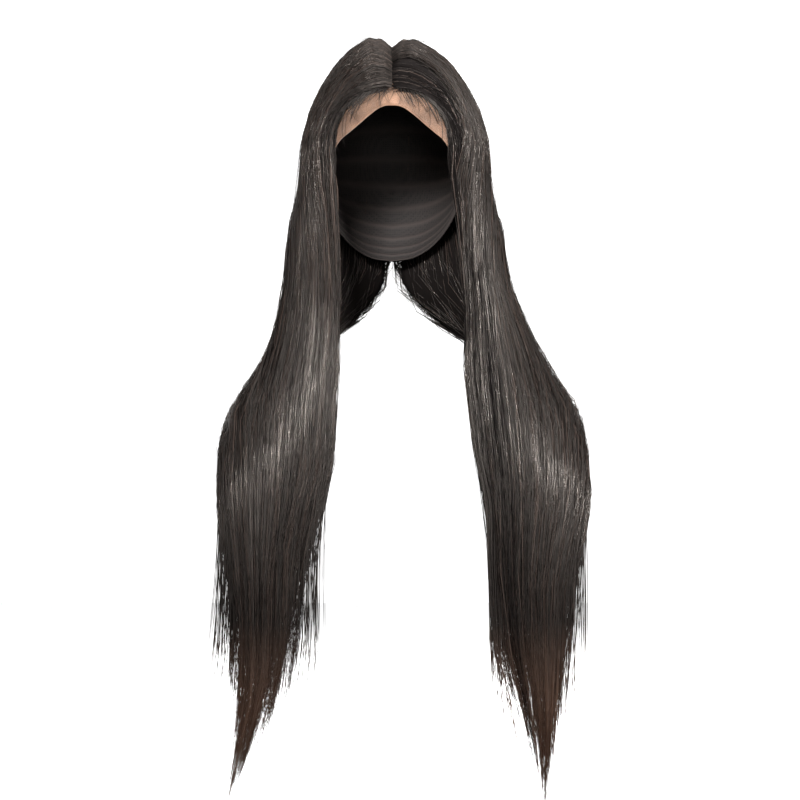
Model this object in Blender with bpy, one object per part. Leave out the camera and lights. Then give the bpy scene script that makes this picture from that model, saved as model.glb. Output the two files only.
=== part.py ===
# Long straight lace front wig: a stretch cap, a sheer lace panel at the forehead, and eight
# sections of hair that fall from a centre part, forward over the shoulders, to the waist.
# Metres. +X is to the right as seen from the front, +Y is to the back and +Z is up.
# The origin is the inside of the cap at its crown. Left and right are as seen from the front.

import math

import bmesh
import bpy
import numpy as np

# The form that the cap is sewn to: two half eggs that meet at the widest level
CAP_HALF_WIDTH = 0.0725
CAP_HALF_LENGTH = 0.096
CROWN_HEIGHT = 0.085
LOWER_HEIGHT = 0.132

CAP_WALL = 0.0012
LACE_WALL = 0.0010
SEAM_GAP = 0.0003
SEAM_BEHIND_CROWN = 0.025
SEAM_HALF_TURN = 106.0
PANEL_COLUMNS = 29
LACE_ROWS = 8
CAP_ROWS = 12

# Hair
HAIR_LOFT = 0.0145
PART_GAP = 0.0016
CAP_CLEARANCE = 0.0016
LEAVE_DEPTH = 0.110
HAIR_DROP = 0.682
CHEST_REACH = 0.105
CURTAIN_THICKNESS = 0.024
SHOULDER_REACH = {"left": 0.1605, "right": 0.183}
CURTAIN_WIDTH = {"left": 0.109, "right": 0.1075}
WAY_OUT = {"left": -1.0, "right": 1.0}

# Free front edge of the lace, from the middle of the forehead to the tab before the ear:
# degrees round the cap from the front, and depth below its crown in crown heights
LACE_EDGE = {
    "azimuth": (0.0, 4.0, 9.0, 16.0, 23.5, 31.0, 39.5, 48.0, 56.0, 72.0),
    "depth": (0.665, 0.667, 0.69, 0.76, 0.85, 0.93, 1.01, 1.14, 1.25, 1.39),
}
# Lower edge of the cap, from the middle of the nape to the ear, in the same terms
NAPE_EDGE = {
    "azimuth": (180.0, 160.0, 142.0, 126.0, 114.0, 104.0, 97.0, 93.0),
    "depth": (2.22, 2.20, 2.12, 1.96, 1.72, 1.45, 1.34, 1.31),
}

# How the hair leaves the part and sweeps over the cap, for five lines of flow from the face
# to the back: the root's place along the part in cap half lengths, the way that the line
# bulges, and the place round the cap where it hangs free, in degrees from the front
FLOW = (0.0, 0.25, 0.5, 0.75, 1.0)
LINE_STEP = 0.01
SWEEP = {
    "root": (-0.86, -0.51, -0.16, 0.20, 0.56),
    "bend_azimuth": (43.0, 62.0, 92.0, 132.0, 179.0),
    "bend_rise": (25.0, 34.0, 36.0, 36.0, 30.0),
    "leave_azimuth": (45.0, 68.0, 97.0, 135.0, 179.0),
}

# Height of the hair over the cap in hair lofts, at shares of the way from part to hanging free
LOFT = {
    "share": (0.0, 0.09, 0.20, 0.30, 0.45, 0.60, 0.80, 1.0),
    "left": (0.35, 0.98, 0.82, 0.62, 0.38, 0.38, 0.55, 0.76),
    "right": (0.35, 0.88, 0.82, 0.78, 0.66, 0.70, 0.93, 1.10),
}

# Level sections of the hanging hair, a row for each. drop is the share of the fall below the
# ears; flare is the share of the way from over the ear to the shoulder's reach; width is the
# sheet's width from face edge to outer edge in curtain widths; x_quarter, x_half and x_rear
# are places across that width; end is the last line's place on the way to the outer edge;
# the five fore columns are the lines' reach to the front in chest reaches
FALL_COLUMNS = (
    "drop", "flare_left", "flare_right", "width_left", "width_right",
    "x_quarter", "x_half", "x_rear", "end",
    "fore_face", "fore_quarter", "fore_half", "fore_rear", "fore_end", "thickness",
)
FALL_ROWS = (
    (0.07, 0.07, 0.07, 0.36, 0.32, 0.58, 0.98, 0.84, 0.02, 0.66, 0.50, 0.09, -0.50, -1.03, 0.52),
    (0.16, 0.09, 0.10, 0.40, 0.31, 0.52, 0.96, 0.95, 0.03, 0.65, 0.53, 0.21, -0.30, -0.93, 0.60),
    (0.24, 0.20, 0.28, 0.47, 0.43, 0.45, 0.88, 1.00, 0.42, 0.67, 0.61, 0.38, -0.04, -0.76, 0.66),
    (0.31, 0.46, 0.56, 0.65, 0.71, 0.38, 0.76, 1.00, 0.86, 0.74, 0.71, 0.58, 0.27, -0.36, 0.75),
    (0.38, 0.87, 0.88, 0.91, 0.94, 0.31, 0.63, 0.91, 1.00, 0.83, 0.84, 0.75, 0.52, 0.10, 0.84),
    (0.45, 1.00, 0.98, 1.00, 1.00, 0.28, 0.57, 0.84, 1.00, 0.90, 0.94, 0.88, 0.70, 0.37, 0.92),
    (0.53, 1.00, 1.00, 0.92, 0.92, 0.27, 0.55, 0.82, 1.00, 0.95, 1.00, 0.97, 0.83, 0.56, 1.00),
    (0.62, 0.90, 0.85, 0.69, 0.78, 0.27, 0.54, 0.80, 1.00, 0.96, 1.02, 1.00, 0.88, 0.64, 0.95),
    (0.74, 0.83, 0.81, 0.62, 0.69, 0.26, 0.52, 0.77, 1.00, 0.95, 1.00, 0.99, 0.89, 0.68, 0.82),
    (0.85, 0.86, 0.75, 0.52, 0.45, 0.25, 0.50, 0.75, 1.00, 0.93, 0.97, 0.97, 0.89, 0.71, 0.62),
    (1.00, 0.95, 0.61, 0.19, 0.19, 0.25, 0.50, 0.75, 1.00, 0.90, 0.93, 0.93, 0.88, 0.76, 0.35),
)

# Sections of each side from the face to the back, with a gap between them in shares of the
# sheet's width, and their locks: how high each stands in shares of the hair's thickness, and
# where its tip ends in shares of the fall. The grooves between locks set in along GROOVE_START,
# in shares of the hair's length, so the hair leaves the part in one smooth sheet.
SECTIONS = ("front", "side", "crown", "back")
LOCKS_PER_SECTION = 3
LOCK_LIFT = {
    "left": (-0.10, 0.02, 0.08, 0.0, -0.06, 0.05, 0.0, 0.07, -0.05, 0.04, -0.03, 0.0),
    "right": (-0.42, 0.02, 0.10, 0.02, 0.08, -0.06, 0.04, 0.0, 0.06, -0.04, 0.03, 0.0),
}
LOCK_TIP = {
    "left": (0.80, 0.85, 0.90, 0.87, 0.93, 0.96, 0.94, 1.0, 0.98, 0.95, 0.90, 0.84),
    "right": (0.84, 0.92, 0.90, 0.94, 0.91, 0.96, 0.99, 1.0, 0.95, 0.97, 0.91, 0.85),
}
GROOVE = 0.16
GROOVE_START = (0.02, 0.14)
SECTION_GAP = 0.005
ACROSS_LOCK = (0.0, 0.3, 0.7, 1.0)
EDGE_THICKNESS = {"left": 0.30, "right": 0.42}
EDGE_SHARE = 0.16
TIP_SIZE = 0.10
TIP_BLUNTNESS = 1.25
TIP_STEPS = 6

# The hair's length counts from 0 at the part to 1 at the lowest tip, and CAP_SHARE of it lies
# over the cap, in rows that crowd towards the part. After the last body station each lock goes
# on to its own tip.
CAP_SHARE = 0.22
SWEEP_ROWS = 12
SWEEP_CROWDING = 1.3
BODY_STATIONS = (
    0.0, 0.012, 0.026, 0.044, 0.07, 0.10, 0.14, 0.18, 0.22,
    0.26, 0.305, 0.35, 0.395, 0.44, 0.49, 0.54, 0.595, 0.65,
)

HAIR_COLOUR = (0.018, 0.013, 0.012, 1.0)
HAIR_ROUGHNESS = 0.38
LACE_COLOUR = (0.60, 0.42, 0.29, 1.0)
CAP_COLOUR = (0.030, 0.024, 0.022, 1.0)
FABRIC_ROUGHNESS = 0.85


def unit(vector):
    return vector / np.linalg.norm(vector, axis=-1, keepdims=True)


def between(knots, values, places, round_bends=False):
    """A smooth curve through values at rising knots. It doesn't swing past them, or with
    round_bends it may, and turns less sharply."""
    knots = np.asarray(knots, float)
    values = np.asarray(values, float)
    places = np.asarray(places, float)
    tail = (1,) * (values.ndim - 1)
    secants = np.diff(values, axis=0) / np.diff(knots).reshape((-1,) + tail)
    before, after = secants[:-1], secants[1:]
    agree = before * after > 0
    total = np.where(agree, before + after, 1.0)
    middle = np.where(agree, 2 * before * after / total, 0.0)
    if round_bends:
        middle = (before + after) / 2
    slopes = np.concatenate([secants[:1], middle, secants[-1:]])
    left = np.clip(np.searchsorted(knots, places, side="right") - 1, 0, len(knots) - 2)
    step = knots[left + 1] - knots[left]
    share = ((places - knots[left]) / step).reshape((-1,) + tail)
    step = step.reshape((-1,) + tail)
    square, cube = share**2, share**3
    return (
        values[left] * (2 * cube - 3 * square + 1)
        + slopes[left] * step * (cube - 2 * square + share)
        + values[left + 1] * (3 * square - 2 * cube)
        + slopes[left + 1] * step * (cube - square)
    )


def cap_point(way, offset):
    """The cap form's point along a way from its centre, moved out by the offset."""
    way = unit(np.asarray(way, float))
    height = np.where(way[..., 2] > 0, CROWN_HEIGHT, LOWER_HEIGHT)
    width = np.full_like(height, CAP_HALF_WIDTH)
    length = np.full_like(height, CAP_HALF_LENGTH)
    radii = np.stack([width, length, height], axis=-1)
    point = way / np.linalg.norm(way / radii, axis=-1, keepdims=True)
    out = unit(point / radii**2)
    centre = np.array([0.0, 0.0, -CROWN_HEIGHT])
    return centre + point + out * np.asarray(offset, float)[..., None]


def cap_way(azimuth, depth):
    """The way from the cap form's centre to the place at an azimuth and a depth on it."""
    below = depth - CROWN_HEIGHT
    height = np.where(below < 0, CROWN_HEIGHT, LOWER_HEIGHT)
    ring = np.sqrt(np.maximum(1 - (below / height) ** 2, 0.01))
    turn = np.radians(azimuth)
    x = CAP_HALF_WIDTH * ring * np.sin(turn)
    y = -CAP_HALF_LENGTH * ring * np.cos(turn)
    return np.stack([x, y, -below], axis=-1)


def material(name, colour, roughness):
    made = bpy.data.materials.new(name)
    made.use_nodes = True
    principled = made.node_tree.nodes["Principled BSDF"]
    principled.inputs["Base Color"].default_value = colour
    principled.inputs["Roughness"].default_value = roughness
    return made


def add_piece(name, points, faces, finish):
    mesh = bpy.data.meshes.new(name)
    mesh.from_pydata([tuple(map(float, point)) for point in points], [], faces)
    work = bmesh.new()
    work.from_mesh(mesh)
    bmesh.ops.recalc_face_normals(work, faces=work.faces)
    if work.calc_volume(signed=True) < 0:
        bmesh.ops.reverse_faces(work, faces=work.faces)
    work.to_mesh(mesh)
    work.free()
    mesh.shade_smooth()
    mesh.materials.append(finish)
    piece = bpy.data.objects.new(name, mesh)
    bpy.context.scene.collection.objects.link(piece)
    return piece


# Cap and lace


def edge_ways(edge, shares):
    """Ways to an edge table's line, at shares from its middle, -1 to 1, alike on both sides."""
    knots = np.linspace(0, 1, len(edge["azimuth"]))
    away = np.abs(shares)
    azimuth = between(knots, edge["azimuth"], away)
    depth = between(knots, edge["depth"], away) * CROWN_HEIGHT
    ways = unit(cap_way(azimuth, depth))
    ways[:, 0] *= np.where(shares < 0, -1, 1)
    return ways


def seam_ways(shares):
    """Ways to the seam of lace and cap, which runs over the crown from ear to ear."""
    rise = CROWN_HEIGHT * math.sqrt(1 - (SEAM_BEHIND_CROWN / CAP_HALF_LENGTH) ** 2)
    top = unit(np.array([0.0, SEAM_BEHIND_CROWN, rise]))
    turn = np.radians(shares * SEAM_HALF_TURN)[:, None]
    return np.cos(turn) * top + np.sin(turn) * np.array([1.0, 0.0, 0.0])


def add_panel(name, first, last, start_gap, rows, wall, finish):
    """A wall of even thickness on the cap form, between two lines of ways."""
    columns = len(first)
    span = np.arccos(np.clip((first * last).sum(axis=1), -1, 1))
    start = (start_gap / (span * CAP_HALF_WIDTH))[None, :, None]
    shares = start + np.linspace(0, 1, rows)[:, None, None] * (1 - start)
    ways = first[None] * (1 - shares) + last[None] * shares
    inside = cap_point(ways, np.zeros(ways.shape[:2])).reshape(-1, 3)
    outside = cap_point(ways, np.full(ways.shape[:2], wall)).reshape(-1, 3)
    count = len(inside)
    faces = []
    for row in range(rows - 1):
        for column in range(columns - 1):
            a = row * columns + column
            quad = (a, a + 1, a + columns + 1, a + columns)
            faces.append(quad)
            faces.append(tuple(count + corner for corner in reversed(quad)))
    top = [row * columns for row in range(rows)]
    end = [row * columns + columns - 1 for row in range(rows)]
    front = list(range(columns))
    rear = list(range(count - columns, count))
    for rim in (front, rear, top, end):
        for a, b in zip(rim, rim[1:]):
            faces.append((a, b, count + b, count + a))
    add_piece(name, np.concatenate([inside, outside]), faces, finish)


def add_lace_front():
    shares = np.linspace(-1, 1, PANEL_COLUMNS)
    finish = material("lace", LACE_COLOUR, FABRIC_ROUGHNESS)
    edge = edge_ways(LACE_EDGE, shares)
    add_panel("lace_front", edge, seam_ways(shares), 0.0, LACE_ROWS, LACE_WALL, finish)


def add_stretch_cap():
    shares = np.linspace(-1, 1, PANEL_COLUMNS)
    finish = material("cap_net", CAP_COLOUR, FABRIC_ROUGHNESS)
    nape = edge_ways(NAPE_EDGE, shares)
    add_panel("stretch_cap", seam_ways(shares), nape, SEAM_GAP, CAP_ROWS, CAP_WALL, finish)


# Hair


def fall_column(name):
    column = FALL_COLUMNS.index(name)
    return np.array([row[column] for row in FALL_ROWS])


def cap_lines(lines, places):
    """Ways to the hair over the cap, a row for each place from the part to hanging free."""
    along = between(FLOW, SWEEP["root"], lines)
    side = np.full_like(along, PART_GAP / 2)
    rise = CROWN_HEIGHT * np.sqrt(1 - along**2)
    root = unit(np.stack([side, CAP_HALF_LENGTH * along, rise], axis=-1))
    azimuth = np.radians(between(FLOW, SWEEP["bend_azimuth"], lines))
    lift = np.radians(between(FLOW, SWEEP["bend_rise"], lines))
    x = np.cos(lift) * np.sin(azimuth)
    y = -np.cos(lift) * np.cos(azimuth)
    bend = np.stack([x, y, np.sin(lift)], axis=-1)
    leave_azimuth = between(FLOW, SWEEP["leave_azimuth"], lines)
    leave = unit(cap_way(leave_azimuth, np.full_like(azimuth, LEAVE_DEPTH)))
    share = places[:, None, None]
    return (1 - share) ** 2 * root + 2 * share * (1 - share) * bend + share**2 * leave


def fall_lines(side, lines):
    """Outer points of the hanging hair, a row for each level and a column for each line."""
    over_ear = CAP_HALF_WIDTH + CAP_WALL + CAP_CLEARANCE + LOFT[side][-1] * HAIR_LOFT
    outer = over_ear + fall_column(f"flare_{side}") * (SHOULDER_REACH[side] - over_ear)
    width = fall_column(f"width_{side}") * CURTAIN_WIDTH[side]
    face = outer - width
    quarter, half, rear = (face + fall_column(f"x_{k}") * width for k in ("quarter", "half", "rear"))
    across = np.stack([face, quarter, half, rear, fall_column("end") * outer])
    names = ("fore_face", "fore_quarter", "fore_half", "fore_rear", "fore_end")
    fore = np.stack([fall_column(name) for name in names]) * CHEST_REACH
    depth = LEAVE_DEPTH + fall_column("drop") * (HAIR_DROP - LEAVE_DEPTH)
    x = between(FLOW, across, lines, round_bends=True).T
    y = -between(FLOW, fore, lines, round_bends=True).T
    z = np.repeat(-depth[:, None], len(lines), axis=1)
    return np.stack([x, y, z], axis=-1)


def thinned(side, lines, split):
    """Share of the full thickness at each line: less towards the sheet's free edges."""
    face = EDGE_THICKNESS[side] + (1 - EDGE_THICKNESS[side]) * np.sin(
        np.clip(lines / EDGE_SHARE, 0, 1) * math.pi / 2
    )
    rear = np.sin(np.clip((1 - lines) / EDGE_SHARE, 0, 1) * math.pi / 2)
    return face * (1 - split * (1 - EDGE_THICKNESS[side]) * (1 - rear))


def hair_sheet(side, lines, stations):
    """(outer, inner) points of the hair at the lines, a row for each station of its length."""
    places = np.linspace(0, 1, SWEEP_ROWS) ** SWEEP_CROWDING
    seat = CAP_WALL + CAP_CLEARANCE
    ways = cap_lines(lines, places)
    loft = between(LOFT["share"], LOFT[side], places) * HAIR_LOFT
    loft = loft[:, None] * thinned(side, lines, 0.0)
    cap_outer = cap_point(ways, seat + loft)
    cap_inner = cap_point(ways, np.full(ways.shape[:2], seat))

    fall_outer = fall_lines(side, lines)
    ahead = fall_lines(side, np.minimum(lines + LINE_STEP, 1))
    behind = fall_lines(side, np.maximum(lines - LINE_STEP, 0))
    down = np.gradient(np.concatenate([cap_outer[-1:], fall_outer]), axis=0)[1:]
    out = unit(np.cross(down, ahead - behind))
    split = np.clip(fall_column("end"), 0, 1)[:, None]
    thickness = fall_column("thickness")[:, None] * CURTAIN_THICKNESS * thinned(side, lines, split)
    fall_inner = fall_outer - out * thickness[..., None]
    fall_inner[..., 0] = np.maximum(fall_inner[..., 0], PART_GAP / 2)

    fall = CAP_SHARE + fall_column("drop") * (1 - CAP_SHARE)
    knots = np.concatenate([places * CAP_SHARE, fall])
    outer = between(knots, np.concatenate([cap_outer, fall_outer]), stations)
    inner = between(knots, np.concatenate([cap_inner, fall_inner]), stations)
    return outer, inner


def lock_columns(side, section):
    """Lines of a section's columns, and how high each stands in shares of the thickness."""
    first = section * LOCKS_PER_SECTION
    count = len(SECTIONS) * LOCKS_PER_SECTION
    lines, heights = [first / count], [1 - GROOVE]
    for lock in range(first, first + LOCKS_PER_SECTION):
        for place in ACROSS_LOCK[1:-1]:
            lines.append((lock + place) / count)
            heights.append(1 + LOCK_LIFT[side][lock])
        lines.append((lock + 1) / count)
        heights.append(1 - GROOVE)
    lines[0] += SECTION_GAP / 2
    lines[-1] -= SECTION_GAP / 2
    return np.array(lines), np.array(heights)


def section_rows(side, section, stations):
    """(outer, inner) rows of a section, with its locks raised from the grooves between them."""
    lines, heights = lock_columns(side, section)
    outer, inner = hair_sheet(side, lines, stations)
    start, full = GROOVE_START
    locks = np.clip((stations - start) / (full - start), 0, 1)[:, None]
    heights = 1 + (heights - 1) * locks
    outer = inner + (outer - inner) * heights[..., None]
    mirror = np.array([WAY_OUT[side], 1.0, 1.0])
    return outer * mirror, inner * mirror


def add_hair_section(side, section):
    """Three crowned locks in one sheet that part and run on to tips of their own."""
    outer, inner = section_rows(side, section, np.array(BODY_STATIONS))
    rows, columns = outer.shape[:2]
    points = list(np.concatenate([outer, inner], axis=1).reshape(-1, 3))
    ring = 2 * columns
    faces = []
    for row in range(rows - 1):
        start, below = row * ring, (row + 1) * ring
        for column in range(columns - 1):
            for layer in (column, columns + column):
                faces.append((start + layer, start + layer + 1, below + layer + 1, below + layer))
        for wall in (0, columns - 1):
            faces.append((start + wall, start + columns + wall, below + wall))
            faces.append((start + columns + wall, below + columns + wall, below + wall))
    for column in range(columns - 1):
        faces.append((column, column + 1, columns + column + 1, columns + column))

    last = (rows - 1) * ring
    across = len(ACROSS_LOCK) - 1
    for lock in range(LOCKS_PER_SECTION):
        picked = list(range(lock * across, (lock + 1) * across + 1))
        above = [last + c for c in picked] + [last + columns + c for c in reversed(picked)]
        tip = CAP_SHARE + LOCK_TIP[side][section * LOCKS_PER_SECTION + lock] * (1 - CAP_SHARE)
        share = np.arange(1, TIP_STEPS + 1) / TIP_STEPS
        stations = BODY_STATIONS[-1] + share * (tip - BODY_STATIONS[-1])
        lock_outer, lock_inner = section_rows(side, section, stations)
        for step in range(TIP_STEPS):
            loop = np.concatenate([lock_outer[step, picked], lock_inner[step, picked[::-1]]])
            middle = loop.mean(axis=0)
            size = 1 - (1 - TIP_SIZE) * share[step] ** TIP_BLUNTNESS
            below = list(range(len(points), len(points) + len(loop)))
            points.extend(middle + (loop - middle) * size)
            for a in range(len(loop)):
                b = (a + 1) % len(loop)
                faces.append((above[a], above[b], below[b], below[a]))
            above = below
        faces.append(tuple(above))
    name = f"{SECTIONS[section]}_hair_{side}"
    add_piece(name, points, faces, material(name, HAIR_COLOUR, HAIR_ROUGHNESS))


def main():
    for old in list(bpy.data.objects):
        bpy.data.objects.remove(old)
    add_stretch_cap()
    add_lace_front()
    for side in WAY_OUT:
        for section in range(len(SECTIONS)):
            add_hair_section(side, section)


main()
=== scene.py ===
import math

import bpy
import numpy as np
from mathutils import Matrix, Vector


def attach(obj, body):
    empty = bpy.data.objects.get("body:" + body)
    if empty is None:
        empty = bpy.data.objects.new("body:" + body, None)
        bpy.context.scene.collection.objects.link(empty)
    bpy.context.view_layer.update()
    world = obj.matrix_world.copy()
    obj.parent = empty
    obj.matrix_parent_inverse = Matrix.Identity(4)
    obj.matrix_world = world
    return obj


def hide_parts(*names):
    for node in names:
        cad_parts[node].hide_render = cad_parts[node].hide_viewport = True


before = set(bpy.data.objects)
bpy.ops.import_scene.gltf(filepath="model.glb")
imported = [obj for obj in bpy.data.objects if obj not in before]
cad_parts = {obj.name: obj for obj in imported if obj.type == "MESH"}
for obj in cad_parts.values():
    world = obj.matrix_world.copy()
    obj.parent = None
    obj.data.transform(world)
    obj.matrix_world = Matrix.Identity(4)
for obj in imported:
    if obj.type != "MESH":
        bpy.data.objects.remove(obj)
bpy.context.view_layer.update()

# Long straight lace front wig. Metres, +X right and -Y front, origin inside the cap's crown.
print("frame loaded:", ", ".join(sorted(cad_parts)))

wayOut = {"left": -1.0, "right": 1.0}
sectionNames = ("front", "side", "crown", "back")

# The cap's own form, and how the hair lies on it, as the solids have them. Azimuths and turns are
# degrees, and depths are shares of the crown's height
capForm = {
    "halfWidth": 0.0725,
    "halfLength": 0.096,
    "crownHeight": 0.085,
    "lowerHeight": 0.132,
    "wall": 0.0012,
    "seamBehindCrown": 0.025,
    "seamHalfTurn": 106.0,
    "laceEdgeAzimuth": (0.0, 4.0, 9.0, 16.0, 23.5, 31.0, 39.5, 48.0, 56.0, 72.0),
    "laceEdgeDepth": (0.665, 0.667, 0.69, 0.76, 0.85, 0.93, 1.01, 1.14, 1.25, 1.39),
    "napeEdgeAzimuth": (180.0, 160.0, 142.0, 126.0, 114.0, 104.0, 97.0, 93.0),
    "napeEdgeDepth": (2.22, 2.20, 2.12, 1.96, 1.72, 1.45, 1.34, 1.31),
}
hairForm = {
    "loft": 0.0145,
    "partGap": 0.0016,
    "clearance": 0.0016,
    "leaveDepth": 0.110,
    "drop": 0.682,
    "chestReach": 0.105,
    "thickness": 0.024,
    "shoulderReach": {"left": 0.1605, "right": 0.183},
    "curtainWidth": {"left": 0.109, "right": 0.1075},
    "edgeThickness": {"left": 0.30, "right": 0.42},
    "edgeShare": 0.16,
    "groove": 0.16,
    "grooveStart": (0.02, 0.14),
    "overCap": 0.22,  # share of the length that lies over the cap
}
flow = (0.0, 0.25, 0.5, 0.75, 1.0)  # lines of hair from the front edge to the back
sweep = {  # starts on the part are shares of the half length, and the rest are degrees
    "root": (-0.86, -0.51, -0.16, 0.20, 0.56),
    "bendAzimuth": (43.0, 62.0, 92.0, 132.0, 179.0),
    "bendRise": (25.0, 34.0, 36.0, 36.0, 30.0),
    "leaveAzimuth": (45.0, 68.0, 97.0, 135.0, 179.0),
}
loftOver = {  # shares of the loft, from the part to where the hair leaves the cap
    "share": (0.0, 0.09, 0.20, 0.30, 0.45, 0.60, 0.80, 1.0),
    "left": (0.35, 0.98, 0.82, 0.62, 0.38, 0.38, 0.55, 0.76),
    "right": (0.35, 0.88, 0.82, 0.78, 0.66, 0.70, 0.93, 1.10),
}
fallTable = {  # level sections of the hanging hair, a column for each level
    "drop": (0.07, 0.16, 0.24, 0.31, 0.38, 0.45, 0.53, 0.62, 0.74, 0.85, 1.00),
    "flareLeft": (0.07, 0.09, 0.20, 0.46, 0.87, 1.00, 1.00, 0.90, 0.83, 0.86, 0.95),
    "flareRight": (0.07, 0.10, 0.28, 0.56, 0.88, 0.98, 1.00, 0.85, 0.81, 0.75, 0.61),
    "widthLeft": (0.36, 0.40, 0.47, 0.65, 0.91, 1.00, 0.92, 0.69, 0.62, 0.52, 0.19),
    "widthRight": (0.32, 0.31, 0.43, 0.71, 0.94, 1.00, 0.92, 0.78, 0.69, 0.45, 0.19),
    "xQuarter": (0.58, 0.52, 0.45, 0.38, 0.31, 0.28, 0.27, 0.27, 0.26, 0.25, 0.25),
    "xHalf": (0.98, 0.96, 0.88, 0.76, 0.63, 0.57, 0.55, 0.54, 0.52, 0.50, 0.50),
    "xRear": (0.84, 0.95, 1.00, 1.00, 0.91, 0.84, 0.82, 0.80, 0.77, 0.75, 0.75),
    "end": (0.02, 0.03, 0.42, 0.86, 1.00, 1.00, 1.00, 1.00, 1.00, 1.00, 1.00),
    "foreFace": (0.66, 0.65, 0.67, 0.74, 0.83, 0.90, 0.95, 0.96, 0.95, 0.93, 0.90),
    "foreQuarter": (0.50, 0.53, 0.61, 0.71, 0.84, 0.94, 1.00, 1.02, 1.00, 0.97, 0.93),
    "foreHalf": (0.09, 0.21, 0.38, 0.58, 0.75, 0.88, 0.97, 1.00, 0.99, 0.97, 0.93),
    "foreRear": (-0.50, -0.30, -0.04, 0.27, 0.52, 0.70, 0.83, 0.88, 0.89, 0.89, 0.88),
    "foreEnd": (-1.03, -0.93, -0.76, -0.36, 0.10, 0.37, 0.56, 0.64, 0.68, 0.71, 0.76),
    "thickness": (0.52, 0.60, 0.66, 0.75, 0.84, 0.92, 1.00, 0.95, 0.82, 0.62, 0.35),
}
lockTable = {  # twelve locks on each side, from the front edge to the back
    "liftLeft": (-0.10, 0.02, 0.08, 0.0, -0.06, 0.05, 0.0, 0.07, -0.05, 0.04, -0.03, 0.0),
    "liftRight": (-0.42, 0.02, 0.10, 0.02, 0.08, -0.06, 0.04, 0.0, 0.06, -0.04, 0.03, 0.0),
    "tipLeft": (0.80, 0.85, 0.90, 0.87, 0.93, 0.96, 0.94, 1.0, 0.98, 0.95, 0.90, 0.84),
    "tipRight": (0.84, 0.92, 0.90, 0.94, 0.91, 0.96, 0.99, 1.0, 0.95, 0.97, 0.91, 0.85),
}


def unit(vector):
    return vector / np.maximum(np.linalg.norm(vector, axis=-1, keepdims=True), 1e-12)


def smooth(low, high, x):
    t = np.clip((x - low) / (high - low), 0, 1)
    return t * t * (3 - 2 * t)


def between(knots, values, places, roundBends=False):
    knots, values, places = (np.asarray(a, float) for a in (knots, values, places))
    tail = (1,) * (values.ndim - 1)
    secants = np.diff(values, axis=0) / np.diff(knots).reshape((-1,) + tail)
    before, after = secants[:-1], secants[1:]
    agree = before * after > 0
    total = np.where(agree, before + after, 1.0)
    middle = np.where(agree, 2 * before * after / total, 0.0)
    if roundBends:
        middle = (before + after) / 2
    slopes = np.concatenate([secants[:1], middle, secants[-1:]])
    left = np.clip(np.searchsorted(knots, places, side="right") - 1, 0, len(knots) - 2)
    step = knots[left + 1] - knots[left]
    share = ((places - knots[left]) / step).reshape((-1,) + tail)
    step = step.reshape((-1,) + tail)
    square, cube = share**2, share**3
    return (values[left] * (2 * cube - 3 * square + 1)
            + slopes[left] * step * (cube - 2 * square + share)
            + values[left + 1] * (3 * square - 2 * cube)
            + slopes[left + 1] * step * (cube - square))


def capPoint(way, offset):
    way = unit(np.asarray(way, float))
    height = np.where(way[..., 2] > 0, capForm["crownHeight"], capForm["lowerHeight"])
    width = np.full_like(height, capForm["halfWidth"])
    length = np.full_like(height, capForm["halfLength"])
    radii = np.stack([width, length, height], axis=-1)
    point = way / np.linalg.norm(way / radii, axis=-1, keepdims=True)
    out = unit(point / radii**2)
    centre = np.array([0.0, 0.0, -capForm["crownHeight"]])
    return centre + point + out * np.asarray(offset, float)[..., None]


def capWay(azimuth, depth):
    below = depth - capForm["crownHeight"]
    height = np.where(below < 0, capForm["crownHeight"], capForm["lowerHeight"])
    ring = np.sqrt(np.maximum(1 - (below / height) ** 2, 0.01))
    turn = np.radians(azimuth)
    x = capForm["halfWidth"] * ring * np.sin(turn)
    y = -capForm["halfLength"] * ring * np.cos(turn)
    return np.stack([x, y, -below], axis=-1)


def sweptWays(lines, places):
    along = between(flow, sweep["root"], lines)
    rise = capForm["crownHeight"] * np.sqrt(1 - along**2)
    side = np.full_like(along, hairForm["partGap"] / 2)
    root = unit(np.stack([side, capForm["halfLength"] * along, rise], axis=-1))
    azimuth = np.radians(between(flow, sweep["bendAzimuth"], lines))
    lift = np.radians(between(flow, sweep["bendRise"], lines))
    x = np.cos(lift) * np.sin(azimuth)
    y = -np.cos(lift) * np.cos(azimuth)
    bend = np.stack([x, y, np.sin(lift)], axis=-1)
    leaveAt = between(flow, sweep["leaveAzimuth"], lines)
    leave = unit(capWay(leaveAt, np.full_like(azimuth, hairForm["leaveDepth"])))
    t = places[:, None, None]
    return (1 - t) ** 2 * root + 2 * t * (1 - t) * bend + t**2 * leave


def fallLines(side, lines):
    name = side.capitalize()
    column = {key: np.array(values) for key, values in fallTable.items()}
    overEar = capForm["halfWidth"] + capForm["wall"] + hairForm["clearance"]
    overEar += loftOver[side][-1] * hairForm["loft"]
    outer = overEar + column["flare" + name] * (hairForm["shoulderReach"][side] - overEar)
    width = column["width" + name] * hairForm["curtainWidth"][side]
    face = outer - width
    across = [face] + [face + column[k] * width for k in ("xQuarter", "xHalf", "xRear")]
    across = np.stack(across + [column["end"] * outer])
    fore = np.stack([column[k] for k in ("foreFace", "foreQuarter", "foreHalf", "foreRear", "foreEnd")])
    depth = hairForm["leaveDepth"] + column["drop"] * (hairForm["drop"] - hairForm["leaveDepth"])
    x = between(flow, across, lines, True).T
    y = -between(flow, fore * hairForm["chestReach"], lines, True).T
    return np.stack([x, y, np.repeat(-depth[:, None], len(lines), axis=1)], axis=-1)


def thinned(side, lines, split):
    least = hairForm["edgeThickness"][side]
    face = least + (1 - least) * np.sin(np.clip(lines / hairForm["edgeShare"], 0, 1) * math.pi / 2)
    rear = np.sin(np.clip((1 - lines) / hairForm["edgeShare"], 0, 1) * math.pi / 2)
    return face * (1 - split * (1 - least) * (1 - rear))


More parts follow.
